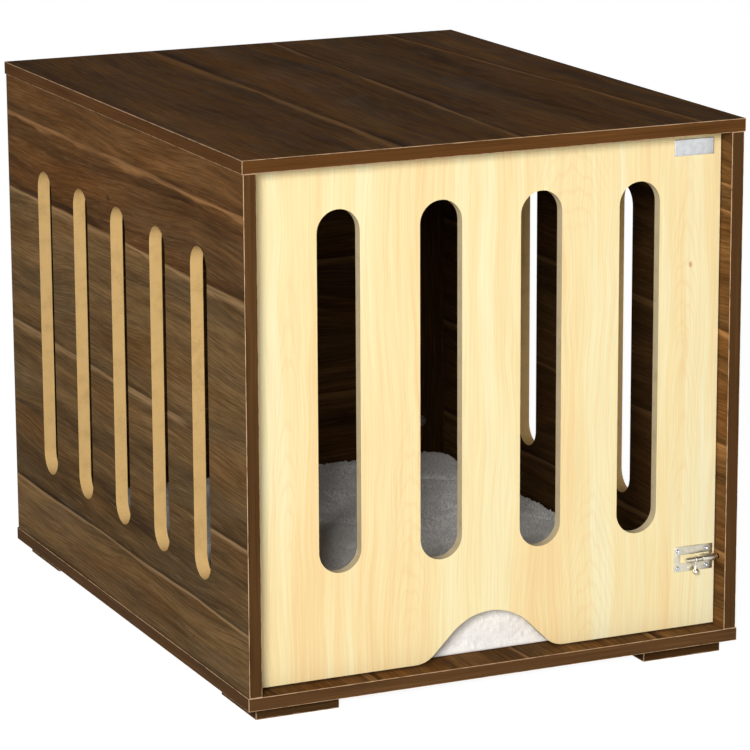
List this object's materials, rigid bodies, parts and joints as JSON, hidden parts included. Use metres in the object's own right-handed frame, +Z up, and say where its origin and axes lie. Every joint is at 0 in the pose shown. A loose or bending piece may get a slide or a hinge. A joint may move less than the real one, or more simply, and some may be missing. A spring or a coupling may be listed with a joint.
{
  "type": "dog crate end table",
  "caption": "Cabinet with slotted side panels and a slotted, arched door on hinges with a barrel bolt, used as an end table and a pet crate, with a plush cushion inside.",
  "frame": {"origin": "on the floor, under the middle of the table", "axes": "+X to the right seen from the door, +Y from the door towards the back, +Z up"},
  "size_m": [0.61, 0.76, 0.625],
  "materials": {
    "walnut_board": "satin walnut-look melamine",
    "walnut_edge_band": "satin walnut-look edge band",
    "maple_board": "satin maple-look board",
    "maple_edge_band": "satin maple-look edge band",
    "nameplate_metal": "satin",
    "white_plush": "short plush",
    "dowel_wood": "raw beech",
    "cam_zinc": "cast zinc",
    "screw_steel": "zinc plated",
    "nickel_plate": "satin nickel",
    "polished_nickel": "polished nickel"
  },
  "bodies": {
    "carcass": {"top_panel": "walnut_board", "base_panel": "walnut_board", "left_side_panel": "walnut_board", "right_side_panel": "walnut_board", "left_back_upright": "walnut_board", "right_back_upright": "walnut_board", "back_panel": "walnut_board", "front_left_foot": "walnut_board", "front_right_foot": "walnut_board", "back_left_foot": "walnut_board", "back_right_foot": "walnut_board", "door_stop": "walnut_board", "top_panel_edge_bands": "walnut_edge_band", "base_panel_edge_bands": "walnut_edge_band", "left_side_edge_bands": "walnut_edge_band", "right_side_edge_bands": "walnut_edge_band", "cushion": "white_plush", "dowels": "dowel_wood", "cam_lock_nuts": "cam_zinc", "cam_bolts": "screw_steel", "foot_screws": "screw_steel", "hinge_frame_screws": "screw_steel", "door_stop_screw": "screw_steel", "upper_hinge_frame_leaf": "nickel_plate", "upper_hinge_pin": "nickel_plate", "lower_hinge_frame_leaf": "nickel_plate", "lower_hinge_pin": "nickel_plate"},
    "door": {"door": "maple_board", "door_edge_bands": "maple_edge_band", "hinge_door_screws": "screw_steel", "bolt_plate": "nickel_plate", "bolt_screws": "screw_steel", "nameplate": "nameplate_metal", "upper_hinge_door_leaf": "nickel_plate", "lower_hinge_door_leaf": "nickel_plate"},
    "bolt_rod": {"bolt_rod": "polished_nickel"},
    "bolt_knob": {"bolt_knob": "polished_nickel"}
  },
  "joints": [
    {"name": "door_hinge", "type": "hinge", "parent": "carcass", "child": "door", "pos_m": [-0.2857, -0.3593, 0.3], "axis": [0, 0, -1], "range_deg": [0, 100]},
    {"name": "bolt_slide", "type": "slide", "parent": "door", "child": "bolt_rod", "axis": [1, 0, 0], "range_m": [-0.01, 0.006]},
    {"name": "knob_turn", "type": "hinge", "parent": "bolt_rod", "child": "bolt_knob", "pos_m": [0.2595, -0.3625, 0.1135], "axis": [-1, 0, 0], "range_deg": [0, 180]}
  ]
}
